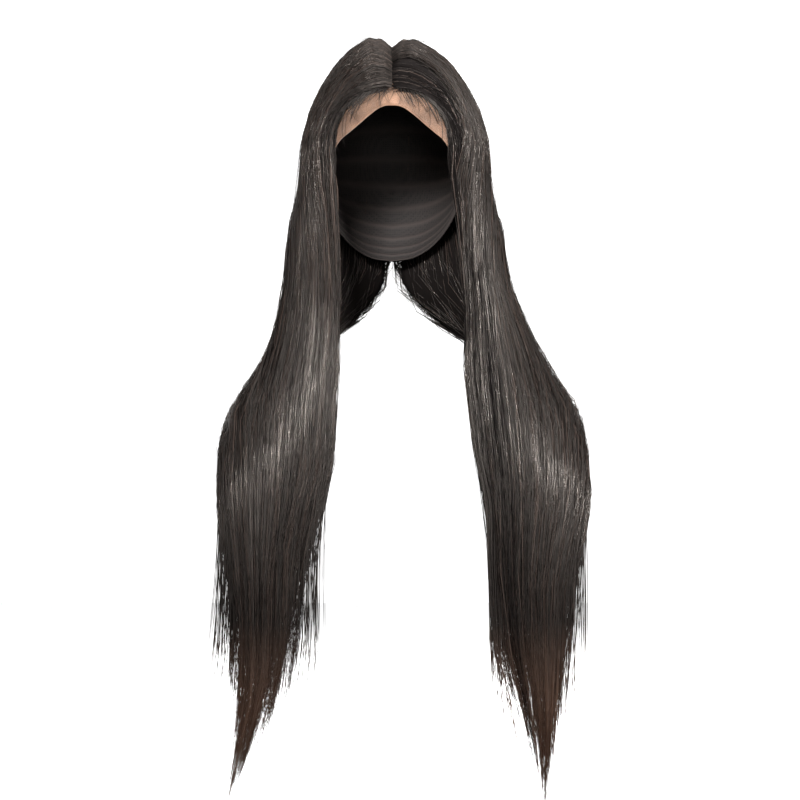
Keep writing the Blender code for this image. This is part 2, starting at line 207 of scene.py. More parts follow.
sheetGrid = {"lines": 241, "stations": 161, "capRows": 12, "closerAtPart": 1.3, "aside": 0.01}


def hairSheet(side, lines, stations):
    places = np.linspace(0, 1, sheetGrid["capRows"]) ** sheetGrid["closerAtPart"]
    seat = capForm["wall"] + hairForm["clearance"]
    ways = sweptWays(lines, places)
    loft = between(loftOver["share"], loftOver[side], places) * hairForm["loft"]
    capOuter = capPoint(ways, seat + loft[:, None] * thinned(side, lines, 0.0))
    capInner = capPoint(ways, np.full(ways.shape[:2], seat))
    fallOuter = fallLines(side, lines)
    ahead = fallLines(side, np.minimum(lines + sheetGrid["aside"], 1))
    behind = fallLines(side, np.maximum(lines - sheetGrid["aside"], 0))
    down = np.gradient(np.concatenate([capOuter[-1:], fallOuter]), axis=0)[1:]
    out = unit(np.cross(down, ahead - behind))
    split = np.array(fallTable["end"])[:, None]
    thickness = np.array(fallTable["thickness"])[:, None] * hairForm["thickness"]
    thickness = thickness * thinned(side, lines, split)
    fallInner = fallOuter - out * thickness[..., None]
    fallInner[..., 0] = np.maximum(fallInner[..., 0], hairForm["partGap"] / 2)
    overCap = hairForm["overCap"]
    fall = overCap + np.array(fallTable["drop"]) * (1 - overCap)
    knots = np.concatenate([places * overCap, fall])
    outer = between(knots, np.concatenate([capOuter, fallOuter]), stations)
    inner = between(knots, np.concatenate([capInner, fallInner]), stations)
    return outer, inner


sheets = {}
for side in wayOut:
    lineGrid = np.linspace(0, 1, sheetGrid["lines"])
    stationGrid = np.linspace(0, 1, sheetGrid["stations"])
    sheets[side] = np.stack(hairSheet(side, lineGrid, stationGrid))


def onSheet(side, u, s, w):
    # A point of the hair and its way out: u across from the front edge to the back, s along, w outward
    i = np.clip(u, 0, 1) * (sheetGrid["lines"] - 1)
    k = np.clip(s, 0, 1) * (sheetGrid["stations"] - 1)
    left = np.minimum(i.astype(int), sheetGrid["lines"] - 2)
    above = np.minimum(k.astype(int), sheetGrid["stations"] - 2)
    i, k = (i - left)[..., None], (k - above)[..., None]
    outer, inner = (
        (grid[above, left] * (1 - i) + grid[above, left + 1] * i) * (1 - k)
        + (grid[above + 1, left] * (1 - i) + grid[above + 1, left + 1] * i) * k
        for grid in sheets[side]
    )
    return inner + (outer - inner) * w[..., None], unit(outer - inner)


# Materials
def hexColour(text):
    shares = [int(text[k:k + 2], 16) / 255 for k in (1, 3, 5)]
    linear = [c / 12.92 if c <= 0.04045 else ((c + 0.055) / 1.055) ** 2.4 for c in shares]
    return (*linear, 1.0)


def addNode(tree, kind, settings=None, links=None):
    node = tree.nodes.new(kind)
    for key, value in (settings or {}).items():
        if isinstance(key, str) and hasattr(node, key):
            setattr(node, key, value)
        else:
            node.inputs[key].default_value = value
    for key, source in (links or {}).items():
        tree.links.new(source, node.inputs[key])
    return node


def newMaterial(name):
    made = bpy.data.materials.new(name)
    made.use_nodes = True
    return made, made.node_tree, made.node_tree.nodes["Principled BSDF"]


# Human hair, straight, natural black brown, combed silky: some strands carry a narrow gleam in short
# stretches, the others stay dark. The grey of the lighter strands is painted sheen on their random tone,
# and the thin ends are drawn a lighter brown: the fibre's own brown with painted light shining through.
# On a real hair the stretches are too fine to show, so they are drawn about 68 mm long
hairFibre = {
    "dark": "#080606",
    "middle": "#140e0c",
    "middleAt": 0.6,
    # painted sheen: the grey colour of the lighter strands
    "light": "#534741",
    # the lighter brown of the ends: the fibre's own brown, with painted light shining through
    "tip": "#705546",
    "tipFrom": 0.78,
    "tipMost": 0.85,
    "roughness": (0.20, 0.60),
    "gleamRange": (0.03, 0.30),
    "rootRoughness": 0.85,  # where the strands turn out of the part
    "rootEnd": 0.035,
    "ior": 1.5,
    "reflection": "#fff3e9",
    "gleamLength": 68.0,  # millimetres
    "strandLength": 697.0,  # millimetres
    "strandTones": 900.0,  # sets each strand's gleam apart from the others
}


def makeHairFibre():
    made, tree, shader = newMaterial("hairFibre")
    tone = addNode(tree, "ShaderNodeAttribute", {"attribute_name": "tone"})
    along = addNode(tree, "ShaderNodeAttribute", {"attribute_name": "along"})
    # Base colour from each strand's random tone; its grey light end is painted sheen
    body = addNode(tree, "ShaderNodeValToRGB", None, {"Fac": tone.outputs["Fac"]})
    body.color_ramp.elements[0].color = hexColour(hairFibre["dark"])
    body.color_ramp.elements[1].color = hexColour(hairFibre["light"])
    body.color_ramp.elements.new(hairFibre["middleAt"]).color = hexColour(hairFibre["middle"])
    # Towards the ends the colour turns to the tip brown: the fibre's brown, partly painted light shining
    # through
    ends = addNode(tree, "ShaderNodeMapRange",
                   {"From Min": hairFibre["tipFrom"], "From Max": 1.0, "To Max": hairFibre["tipMost"]},
                   {"Value": along.outputs["Fac"]})
    mixed = addNode(tree, "ShaderNodeMix", {"data_type": "RGBA", 7: hexColour(hairFibre["tip"])},
                    {0: ends.outputs["Result"], 6: body.outputs["Color"]})
    tree.links.new(mixed.outputs[2], shader.inputs["Base Color"])
    strand = addNode(tree, "ShaderNodeMath", {"operation": "MULTIPLY", 1: hairFibre["strandTones"]},
                     {0: tone.outputs["Fac"]})
    stretches = hairFibre["strandLength"] / hairFibre["gleamLength"]
    run = addNode(tree, "ShaderNodeMath", {"operation": "MULTIPLY", 1: stretches},
                  {0: along.outputs["Fac"]})
    drawn = addNode(tree, "ShaderNodeCombineXYZ", None,
                    {"X": strand.outputs["Value"], "Y": run.outputs["Value"]})
    gleam = addNode(tree, "ShaderNodeTexNoise", {"Scale": 1.0, "Detail": 1.0},
                    {"Vector": drawn.outputs["Vector"]})
    both = addNode(tree, "ShaderNodeMath", {"operation": "MULTIPLY"},
                   {0: gleam.outputs["Fac"], 1: tone.outputs["Fac"]})
    silky, dull = hairFibre["roughness"]
    least, most = hairFibre["gleamRange"]
    smoothness = addNode(tree, "ShaderNodeMapRange",
                         {"From Min": least, "From Max": most, "To Min": dull, "To Max": silky},
                         {"Value": both.outputs["Value"]})
    roots = addNode(tree, "ShaderNodeMapRange",
                    {"From Max": hairFibre["rootEnd"], "To Min": hairFibre["rootRoughness"],
                     "To Max": silky},
                    {"Value": along.outputs["Fac"]})
    duller = addNode(tree, "ShaderNodeMath", {"operation": "MAXIMUM"},
                     {0: smoothness.outputs["Result"], 1: roots.outputs["Result"]})
    tree.links.new(duller.outputs["Value"], shader.inputs["Roughness"])
    shader.inputs["IOR"].default_value = hairFibre["ior"]
    shader.inputs["Specular Tint"].default_value = hexColour(hairFibre["reflection"])
    return made


# Painted shade: the same fibre, drawn darker and duller, for the closed core inside each section and for
# the strands that lie in shade under the top layer. Its hairs are about 0.1 mm apart, too fine to show,
# so they are drawn 0.9 mm apart, in streaks that run down
paintedShadeHair = {"colour": "#060404", "grey": "#120d0b", "spacing": 0.9, "streak": 0.02, "roughness": 0.8,
              "ior": 1.2}


def makePaintedShadeHair():
    made, tree, shader = newMaterial("paintedShadeHair")
    place = addNode(tree, "ShaderNodeTexCoord")
    drawn = addNode(tree, "ShaderNodeMapping", {"Scale": (1.0, 1.0, paintedShadeHair["streak"])},
                    {"Vector": place.outputs["Object"]})
    fibres = addNode(tree, "ShaderNodeTexNoise", {"Scale": 1000 / paintedShadeHair["spacing"], "Detail": 1.0},
                     {"Vector": drawn.outputs["Vector"]})
    shade = addNode(tree, "ShaderNodeValToRGB", None, {"Fac": fibres.outputs["Fac"]})
    shade.color_ramp.elements[0].color = hexColour(paintedShadeHair["colour"])
    shade.color_ramp.elements[1].color = hexColour(paintedShadeHair["grey"])
    tree.links.new(shade.outputs["Color"], shader.inputs["Base Color"])
    shader.inputs["Roughness"].default_value = paintedShadeHair["roughness"]
    shader.inputs["IOR"].default_value = paintedShadeHair["ior"]
    return made


# Swiss lace, a diamond net knitted of fine polyester and dyed golden tan: matt and see-through, with
# the dye a little uneven, in flecks of about 12 mm
laceThread = {"light": "#89664e", "lightAt": 0.65, "dark": "#5e412b", "darkAt": 0.2, "fleck": 12.0,
              "roughness": 0.8, "sheen": 0.2}


def makeLaceThread():
    made, tree, shader = newMaterial("swissLace")
    place = addNode(tree, "ShaderNodeTexCoord")
    fleck = addNode(tree, "ShaderNodeTexNoise", {"Scale": 1000 / laceThread["fleck"], "Detail": 2.0},
                    {"Vector": place.outputs["Object"]})
    shade = addNode(tree, "ShaderNodeValToRGB", None, {"Fac": fleck.outputs["Fac"]})
    shade.color_ramp.elements[0].color = hexColour(laceThread["dark"])
    shade.color_ramp.elements[0].position = laceThread["darkAt"]
    shade.color_ramp.elements[1].color = hexColour(laceThread["light"])
    shade.color_ramp.elements[1].position = laceThread["lightAt"]
    tree.links.new(shade.outputs["Color"], shader.inputs["Base Color"])
    shader.inputs["Roughness"].default_value = laceThread["roughness"]
    shader.inputs["Sheen Weight"].default_value = laceThread["sheen"]
    return made


# Nylon stretch net, warp knitted and dyed black: matt, with a fine even grid of threads. The real
# grid is about 1 mm, too fine to show, so it is drawn at 2.2 mm
capNet = {"thread": "#241e1c", "threadAt": 0.12, "hole": "#100d0c", "holeAt": 0.3, "weft": "#332b28",
          "pitch": 2.2, "uneven": 0.25, "relief": 0.0003, "reliefStrength": 0.5, "roughness": 0.8}


def makeCapNet():
    made, tree, shader = newMaterial("stretchNet")
    place = addNode(tree, "ShaderNodeTexCoord")
    net = addNode(tree, "ShaderNodeTexVoronoi",
                  {"feature": "DISTANCE_TO_EDGE", "Scale": 1000 / capNet["pitch"],
                   "Randomness": capNet["uneven"]},
                  {"Vector": place.outputs["Object"]})
    shade = addNode(tree, "ShaderNodeValToRGB", None, {"Fac": net.outputs["Distance"]})
    shade.color_ramp.elements[0].color = hexColour(capNet["thread"])
    shade.color_ramp.elements[0].position = capNet["threadAt"]
    shade.color_ramp.elements[1].color = hexColour(capNet["hole"])
    shade.color_ramp.elements[1].position = capNet["holeAt"]
    raised = addNode(tree, "ShaderNodeBump",
                     {"Strength": capNet["reliefStrength"], "Distance": capNet["relief"], "invert": True},
                     {"Height": net.outputs["Distance"]})
    track = addNode(tree, "ShaderNodeAttribute", {"attribute_name": "track"})
    mixed = addNode(tree, "ShaderNodeMix", {"data_type": "RGBA", 7: hexColour(capNet["weft"])},
                    {0: track.outputs["Fac"], 6: shade.outputs["Color"]})
    tree.links.new(mixed.outputs[2], shader.inputs["Base Color"])
    tree.links.new(raised.outputs["Normal"], shader.inputs["Normal"])
    shader.inputs["Roughness"].default_value = capNet["roughness"]
    return made


# Meshes
def addPiece(name, points, faces, materials, values=None, slots=None):
    mesh = bpy.data.meshes.new(name)
    points, faces = np.asarray(points, np.float32), np.asarray(faces, np.int32)
    corners = faces.shape[1]
    mesh.vertices.add(len(points))
    mesh.vertices.foreach_set("co", points.ravel())
    mesh.loops.add(faces.size)
    mesh.loops.foreach_set("vertex_index", faces.ravel())
    mesh.polygons.add(len(faces))
    mesh.polygons.foreach_set("loop_start", np.arange(0, faces.size, corners, dtype=np.int32))
    mesh.update(calc_edges=True)
    mesh.shade_smooth()
    for key, numbers in (values or {}).items():
        attribute = mesh.attributes.new(key, "FLOAT", "POINT")
        attribute.data.foreach_set("value", np.asarray(numbers, np.float32))
    for material in materials:
        mesh.materials.append(material)
    if slots is not None:
        mesh.polygons.foreach_set("material_index", np.asarray(slots, np.int32))
    piece = bpy.data.objects.new(name, mesh)
    bpy.context.scene.collection.objects.link(piece)
    return piece


def tubes(points, out, radii, flat=1.0):
    # Closed three-sided tubes along rows of points, out giving each point's way outward
    count, steps = points.shape[:2]
    tangent = unit(np.gradient(points, axis=1))
    beside = unit(np.cross(tangent, out))
    upward = np.cross(beside, tangent)
    turns = np.radians([90.0, 210.0, 330.0])
    ring = beside[:, :, None] * np.cos(turns)[:, None] + upward[:, :, None] * np.sin(turns)[:, None] * flat
    vertices = points[:, :, None] + ring * radii[:, :, None, None]
    index = np.arange(count * steps * 3).reshape(count, steps, 3)
    a, b = index[:, :-1], index[:, 1:]
    an, bn = np.roll(a, -1, axis=2), np.roll(b, -1, axis=2)
    sides = np.stack([np.stack([a, an, b], -1), np.stack([an, bn, b], -1)], 3).reshape(-1, 3)
    ends = np.concatenate([index[:, 0, ::-1], index[:, -1]])
    return vertices.reshape(-1, 3), np.concatenate([sides, ends])


def shell(outside, inside):
    # A closed body between two grids of points
    rows, columns = outside.shape[:2]
    index = np.arange(rows * columns).reshape(rows, columns)
    back = index + rows * columns
    rim = np.concatenate([index[0], index[1:, -1], index[-1, -2::-1], index[-2:0:-1, 0]])
    behind = rim + rows * columns
    quads = np.concatenate([
        np.stack([index[:-1, :-1], index[1:, :-1], index[1:, 1:], index[:-1, 1:]], -1).reshape(-1, 4),
        np.stack([back[:-1, :-1], back[:-1, 1:], back[1:, 1:], back[1:, :-1]], -1).reshape(-1, 4),
        np.stack([rim, np.roll(rim, -1), np.roll(behind, -1), behind], -1).reshape(-1, 4),
    ])
    points = np.concatenate([outside.reshape(-1, 3), inside.reshape(-1, 3)])
    return points, np.concatenate([quads[:, [0, 1, 2]], quads[:, [0, 2, 3]]])


# Hair. Places along it are shares of the whole fall, and heights are shares of the hair's thickness
strands = {
    "perSection": 880,
    "shares": (0, .012, .03, .052, .08, .115, .155, .20, .25, .31, .38, .46, .55, .65, .76, .88, 1),
    "thinnest": 0.00018,  # radii; real hair is 0.07 mm thick, too fine to show, so a strand is several
    "thickest": 0.00033,
    "taper": 0.80,
    "topShare": 0.60,  # share of the strands in the top layer
    "topHeight": 1.02,
    "topSpread": 0.30,
    "middleHeight": 0.06,
    "middleSpread": 0.66,
    "insideShare": 0.12,
    "insideSpread": 0.10,
    "fineClumps": 46,
    "finePull": 0.74,
    "fineTips": 0.028,  # how unevenly the clumps end
    "wideClumps": 9,
    "widePull": 0.48,
    "wideTips": 0.015,
    "clumpHeight": (0.35, 0.85),
    "drift": 0.022,
    "wander": 0.0015,
    "shorter": 0.050,
    "earlyShare": 0.20,  # share of the strands that end early
    "earlyEnd": (0.74, 0.95),
    "risingBand": 0.06,  # half of the strands this near the hairline rise from along it
    "risingReach": 0.17,
    "setBack": 0.17,  # how far the top layer starts behind the hairline on the right
    "setBackEnd": 0.34,
    "below": 0.46,  # share of the front right strands that lie low under it
    "belowDip": 0.72,
    # share of those low strands drawn in the painted-shade material
    "belowShaded": 0.85,
    "rise": 0.0018,
    "overMiddle": 0.007,  # how far strands of each side lie over the middle of the back
    "seed": 11,
}
hairStart = {"partHeight": 0.50, "partReach": 0.016, "hairlineDip": 0.8, "hairlineBand": 0.09,
             "hairlineEnd": (0.10, 0.30)}
fullDrop = 0.997  # the lowest tip ends just inside the solids' tips


def lockHeight(side, u, s):
    # The solids' locks: a lift in the middle of each and a groove between them
    lifts = np.array(lockTable["lift" + side.capitalize()])
    place = np.clip(u, 0, 0.99999) * len(lifts)
    lock = place.astype(int)
    crown = 1 - np.abs(2 * (place - lock) - 1) ** 3
    full = 1 - hairForm["groove"] + (hairForm["groove"] + lifts[lock]) * crown
    return 1 + (full - 1) * smooth(*hairForm["grooveStart"], s)


def lockTip(side, u):
    tips = np.array(lockTable["tip" + side.capitalize()])
    return np.interp(np.clip(u, 0, 1) * len(tips) - 0.5, np.arange(len(tips)), tips)


def placeAlong(drop):
    # Place along the hair, from 0 at the part to 1 at the lowest tip, for a share of the fall
    return hairForm["overCap"] + np.clip(drop, 0, fullDrop) * (1 - hairForm["overCap"])


def setBack(side, u, s):
    if side == "left":
        return u
    shift = strands["setBack"] * (1 - smooth(0.0, strands["setBackEnd"], s))
    return u + (1 - u) * shift


def liftAt(side, u, s):
    # The hair starts flat at the part and at the hairline
    least = hairStart["partHeight"]
    atPart = least + (1 - least) * smooth(0, hairStart["partReach"], s)
    nearHairline = 1 - smooth(0, hairStart["hairlineBand"], u)
    atHairline = 1 - hairStart["hairlineDip"] * nearHairline * (1 - smooth(*hairStart["hairlineEnd"], s))
    return lockHeight(side, u, s) * atPart * atHairline


def wandered(points, out, amount, random):
    # Small bends of each strand, sideways and, a little less, in depth
    count, steps = points.shape[:2]
    offsets = random.normal(0, 1, (2, count, steps + 2))
    evenSpread = 2.45  # keeps the spread of the sum of the three neighbours at the amount
    offsets = (offsets[:, :, :-2] + 2 * offsets[:, :, 1:-1] + offsets[:, :, 2:]) / evenSpread * amount
    beside = unit(np.cross(np.gradient(points, axis=1), out))
    return points + beside * offsets[0][..., None] + out * (offsets[1] * 0.85)[..., None]


def fallingStrands(side, section, random):
    low, high = section / len(sectionNames), (section + 1) / len(sectionNames)
    count = strands["perSection"]
    u0 = low + (high - low) * (np.arange(count) + random.random(count)) / count
    depth = random.random(count)
    layer = random.random(count)
    top = strands["topHeight"] - strands["topSpread"] * depth**1.4
    middle = strands["middleHeight"] + depth * strands["middleSpread"]
    w0 = np.where(layer < strands["topShare"], top, middle)
    w0 = np.where(layer > 1 - strands["insideShare"], strands["insideSpread"] * depth, w0)
    across = (u0 - low) / (high - low)

    def clumps(number, spread):
        centres = (np.arange(number) + 0.5 + random.uniform(-0.3, 0.3, number)) / number
        mine = np.minimum((across * number).astype(int), number - 1)
        return low + centres[mine] * (high - low), random.normal(0, spread, number)[mine], mine

    fineU, fineTip, fine = clumps(strands["fineClumps"], strands["fineTips"])
    wideU, wideTip, _ = clumps(strands["wideClumps"], strands["wideTips"])
    clumpW = random.uniform(*strands["clumpHeight"], strands["fineClumps"])[fine]
    drop = lockTip(side, u0) + fineTip + wideTip - np.abs(random.normal(0, strands["shorter"], count))
    early = random.random(count) < strands["earlyShare"]
    drop = np.where(early, drop * random.uniform(*strands["earlyEnd"], count), drop)
    tip = placeAlong(drop)
    share = np.array(strands["shares"])[None]
    share = np.clip(share + random.uniform(-0.014, 0.014, (count, 1)) * np.sin(share * math.pi), 0, 1)
    rising = (u0 < strands["risingBand"]) & (random.random(count) < 0.5)
    start = np.where(rising, strands["risingReach"] * random.random(count), 0.0)[:, None]
    s = start + share * (tip[:, None] - start)
    near = s / tip[:, None]

    # Sideways: each strand drifts, then gathers into its fine clump and its wide one
    finePull = strands["finePull"] * smooth(0.35, 1.05, near)
    widePull = strands["widePull"] * smooth(0.66, 1.05, near)
    u = u0[:, None] + random.normal(0, strands["drift"], (count, 1)) * smooth(0.05, 1.0, s)
    u = u + (fineU[:, None] - u) * finePull
    u = u + (wideU[:, None] - u) * widePull
    u = 0.999 - np.abs(0.999 - np.abs(u))

    # Height: the strands below the top layer on the right, and those that rise from the hairline
    w = w0[:, None] + (clumpW - w0)[:, None] * (finePull + widePull) * 0.6
    beneath = (random.random(count) < strands["below"])[:, None] & (side == "right") & (section == 0)
    u = np.where(beneath, u, setBack(side, u, s))
    w = w * np.where(beneath, 1 - strands["belowDip"] * (1 - smooth(0.16, 0.36, s)), 1)
    w = w * np.where(start > 0, 0.1 + 0.9 * smooth(0, 0.07, s - start), 1)
    points, out = onSheet(side, u, s, w * liftAt(side, u, s))
    points = points + out * (strands["rise"] * w * np.exp(-((s - 0.014) / 0.010) ** 2))[..., None]
    bend = strands["wander"] * smooth(0.02, 0.30, s) * (1 - 0.7 * smooth(0.55, 0.85, s))
    points = wandered(points, out, bend, random)

    # The two sides meet at the part, and lie a little over each other down the back
    points[..., 0] -= random.uniform(0.3, 1.5, (count, 1)) * 0.0009 * np.exp(-s / 0.008)
    behind = smooth(0.90, 1.0, u) * smooth(0.01, 0.05, s) * (1 - smooth(0.17, 0.26, s))
    points[..., 0] -= random.uniform(0.0, strands["overMiddle"], (count, 1)) * behind
    size = random.uniform(strands["thinnest"], strands["thickest"], (count, 1))
    size = size * (1 - strands["taper"] * smooth(0.60, 1.0, near)) * (0.7 + 0.3 * smooth(0, 0.06, s))
    tone = random.random(count) ** 2.0 * 0.85 + 0.15 * random.random(strands["fineClumps"])[fine]
    # Most strands beneath are drawn in the painted-shade material: painted shade under the top layer
    return points, out, size, tone, s, beneath[:, 0] & (random.random(count) < strands["belowShaded"])


# Hair that rises from the lace at the hairline and turns back under the rest
rooted = {
    "count": 380,
    "steps": 10,
    "radius": 0.00022,
    "along": 0.205,  # how far along the hairline they start
    "length": (0.10, 0.22),
    "reach": {"left": (0.01, 0.11), "right": (0.04, 0.23)},
    "height": {"left": (0.25, 1.0), "right": (0.05, 0.40)},
    # share drawn in the painted-shade material
    "shaded": {"left": 0.35, "right": 0.9},
    "onLace": 0.0045,
}


def rootedStrands(side, random):
    count = rooted["count"]
    s0 = (np.arange(count) + random.random(count)) / count * rooted["along"]
    reach = random.uniform(*rooted["reach"][side], count)
    height = random.uniform(*rooted["height"][side], count)
    t = np.linspace(0, 1, rooted["steps"])[None].repeat(count, 0)
    s = s0[:, None] + t * random.uniform(*rooted["length"], (count, 1))
    u = reach[:, None] * smooth(0, 0.75, t)
    w = height[:, None] * smooth(0, 0.55, t)
    points, out = onSheet(side, u, s, w)
    edge, _ = onSheet(side, np.zeros(count), s0, np.zeros(count))
    inner, _ = onSheet(side, np.full(count, 0.03), s0, np.zeros(count))
    ontoLace = unit(edge - inner) * (rooted["onLace"] * random.random(count) ** 1.6)[:, None]
    fade = (1 - smooth(0, 0.4, t))[..., None]
    points = points + ontoLace[:, None] * fade - out * hairForm["clearance"] * fade
    radii = rooted["radius"] * (0.55 + 0.45 * smooth(0, 0.3, t)) * (1 - 0.5 * smooth(0.7, 1, t))
    # Most on the right and some on the left are drawn in the painted-shade material, and the tone is held
    # low for darker strands: painted shade at the hairline
    shaded = random.random(count) < rooted["shaded"][side]
    return points, out, radii, random.random(count) ** 2 * 0.6, s, shaded


# Thin strands that leave the sheet's edges and hang straight below the chest
wispForm = {"steps": 12, "start": 0.40, "band": 0.10, "height": (0.2, 0.9), "radius": (0.00026, 0.00036),
            "wander": 0.0004}
wisps = {
    "left": {
        "inner": {"count": 80, "hold": 0.600, "keep": (0.05, 0.80), "flare": (-0.006, 0.001),
                  "drop": (0.74, 0.96), "early": 0.14},
        "outer": {"count": 96, "hold": 0.620, "keep": (0.10, 1.0), "flare": (-0.001, 0.014),
                  "drop": (0.74, 0.86)},
    },
    "right": {
        "inner": {"count": 110, "hold": 0.680, "keep": (0.10, 1.0), "flare": (-0.002, 0.003),
                  "drop": (0.80, 0.96), "early": 0.05},
        "outer": {"count": 90, "hold": 0.615, "keep": (0.10, 1.0), "flare": (-0.008, 0.002),
                  "drop": (0.66, 0.92)},
    },
}


def wispStrands(side, edge, random):
    wisp = wisps[side][edge]
    count, steps, start = wisp["count"], wispForm["steps"], wispForm["start"]
    inner = edge == "inner"
    u = random.random(count) ** 1.5 * wispForm["band"]
    u = (u if inner else 1 - u * 1.5)[:, None]
    keepShare = random.random(count)
    drop = random.uniform(*wisp["drop"], count) - wisp.get("early", 0.0) * keepShare
    tip = placeAlong(drop)[:, None]
    t = np.linspace(0, 1, steps)[None]
    s = start + (tip - start) * t
    u = u.repeat(steps, 1)
    points, out = onSheet(side, u, s, random.uniform(*wispForm["height"], (count, 1)).repeat(steps, 1))
    held, _ = onSheet(side, u[:, 0], np.full(count, wisp["hold"]), np.full(count, 0.5))
    least, most = wisp["keep"]
    keep = (least + (most - least) * keepShare[:, None]) * smooth(wisp["hold"], wisp["hold"] + 0.08, s)
    points[..., 0] += (held[:, None, 0] - points[..., 0]) * keep
    points[..., 0] += random.uniform(*wisp["flare"], (count, 1)) * smooth(wisp["hold"], 1.0, s) / 0.6
    points = wandered(points, out, wispForm["wander"], random)
    radii = random.uniform(*wispForm["radius"], (count, 1)) * (1 - 0.6 * smooth(0.75, 1, t))
    return points, out, radii, 0.4 * random.random(count), s, np.zeros(count, bool)


# Single fine hairs that stand off the surface, near the part or lower down
flyaways = {"count": 34, "steps": 9, "lift": 0.0045, "radius": 0.00010, "wander": 0.0005, "topShare": 0.45,
            "topStart": (0, 0.03), "topLength": 0.05, "start": (0.05, 0.62), "length": 0.16}


def flyawayStrands(side, section, random):
    count, steps = flyaways["count"], flyaways["steps"]
    low, high = section / len(sectionNames), (section + 1) / len(sectionNames)
    u = random.uniform(low, high, (count, 1)).repeat(steps, 1)
    top = random.random(count) < flyaways["topShare"]
    topStart = random.uniform(*flyaways["topStart"], count)
    s0 = np.where(top, topStart, random.uniform(*flyaways["start"], count))[:, None]
    t = np.linspace(0, 1, steps)[None]
    reach = np.where(top, flyaways["topLength"], flyaways["length"])[:, None]
    s = s0 + t * reach * random.uniform(0.5, 1.2, (count, 1))
    points, out = onSheet(side, u, s, np.full(s.shape, 0.97))
    lift = flyaways["lift"] * random.random((count, 1)) * np.sin(np.clip(t * 1.25, 0, 1) * math.pi * 0.8)
    points = points + out * lift[..., None]
    points = wandered(points, out, flyaways["wander"] * smooth(0, 0.3, t), random)
    radii = np.full(s.shape, flyaways["radius"]) * (1 - 0.6 * t)
    return points, out, radii, 0.15 + 0.45 * random.random(count), s, np.zeros(count, bool)


# The closed core of each section, which the strands cover; it takes the painted-shade material
packed = {"columns": 22, "rows": 60, "start": 0.002, "end": 0.74, "top": 0.76, "bottom": 0.14,
          "setIn": 0.030, "narrowing": 0.85, "hairlineTop": 0.16, "endDip": 0.25, "endBottom": 0.35}


def packedBody(side, section):
    low, high = section / len(sectionNames), (section + 1) / len(sectionNames)
    share = np.linspace(0, 1, packed["columns"])[None].repeat(packed["rows"], 0)
    s = np.linspace(packed["start"], packed["end"], packed["rows"])[:, None].repeat(packed["columns"], 1)
    isFirst, isLast = section == 0, section == len(sectionNames) - 1
    first = low + (packed["setIn"] * smooth(0.14, 0.26, s) if isFirst else 0.0)
    last = high - (packed["setIn"] * smooth(0.18, 0.28, s) if isLast else 0.0)
    narrow = smooth(0.55, packed["end"], s)
    u = first + (last - first) * (share + (0.5 - share) * narrow * packed["narrowing"])
    place, top = setBack(side, u, s), packed["top"]
    if isFirst:  # low at the hairline, and on the right where the top layer is set back
        over = smooth(0.0, 0.09, u) if side == "left" else smooth(0.0, 0.06, u - place + u)
        least = packed["hairlineTop"]
        top = least + (top - least) * np.maximum(over, smooth(0.24, 0.36, s))
        place = u
    outer, _ = onSheet(side, place, s, liftAt(side, place, s) * (top - packed["endDip"] * narrow))
    under = packed["endBottom"] * narrow + packed["bottom"] * smooth(0, 0.1, s)
    inner, _ = onSheet(side, place, s, under)
    for grid in (outer, inner):
        grid[..., 0] -= 0.0008 * np.exp(-s / 0.006)  # the two sides meet at the part
    return shell(outer, inner)


def joined(groups):
    # One mesh of several groups of strands, with each point's tone and place along the hair
    vertices, faces, tones, alongs, slots, used = [], [], [], [], [], 0
    for points, out, radii, tone, s, shaded in groups:
        made, triangles = tubes(points, out, np.broadcast_to(radii, points.shape[:2]))
        vertices.append(made)
        faces.append(triangles + used)
        tones.append(np.repeat(tone, points.shape[1] * 3))
        alongs.append(np.repeat(np.broadcast_to(s, points.shape[:2]).ravel(), 3))
        # shaded strands take the second slot, the painted-shade material
        slots += [np.repeat(shaded, (points.shape[1] - 1) * 6), shaded, shaded]
        used += len(made)
    return [np.concatenate(parts) for parts in (vertices, faces, tones, alongs, slots)]


def makeHairSection(side, section, materials):
    random = np.random.default_rng(strands["seed"] + section + 10 * (side == "right"))
    groups = [fallingStrands(side, section, random), flyawayStrands(side, section, random)]
    if section == 0:
        groups.append(rootedStrands(side, random))
        groups.append(wispStrands(side, "inner", random))
    if section == len(sectionNames) - 1:
        groups.append(wispStrands(side, "outer", random))
    vertices, faces, tones, alongs, slots = joined(groups)
    corePoints, coreFaces = packedBody(side, section)
    # The core takes the second slot, the painted-shade copy of the fibre
    slots = np.concatenate([slots, np.ones(len(coreFaces), bool)])
    faces = np.concatenate([faces, coreFaces + len(vertices)])
    vertices = np.concatenate([vertices, corePoints]) * np.array([wayOut[side], 1.0, 1.0])
    if wayOut[side] > 0:
        faces = faces[:, ::-1]
    values = {
        "tone": np.concatenate([tones, np.zeros(len(corePoints))]),
        "along": np.concatenate([alongs, np.zeros(len(corePoints))]),
    }
    name = f"{sectionNames[section]}Strands{side.capitalize()}"
    piece = addPiece(name, vertices, faces, materials, values, slots)
    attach(piece, "root")
    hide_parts(f"{sectionNames[section]}_hair_{side}")
    return len(faces)


hairMaterial, paintedShadeMaterial = makeHairFibre(), makePaintedShadeHair()
triangles = [makeHairSection(side, section, [hairMaterial, paintedShadeMaterial])
             for side in wayOut for section in range(len(sectionNames))]
print("hair:", sum(triangles), "triangles, at most", max(triangles), "in a section")


# Lace front
lace = {
    "pitch": 0.0013,  # the real mesh is about 0.6 mm, too fine to show, so it is drawn at 1.3 mm
    "threadRadius": 0.000299,
    "threadFlatness": 0.5,
    "step": 0.004,
    "flat": (0.300, 0.125),
    "depth": 0.115,  # sets how far a thread slants across the panel
    "cordRadius": 0.00055,
    "cordFlatness": 0.7,
    "edgePoints": 201,
}


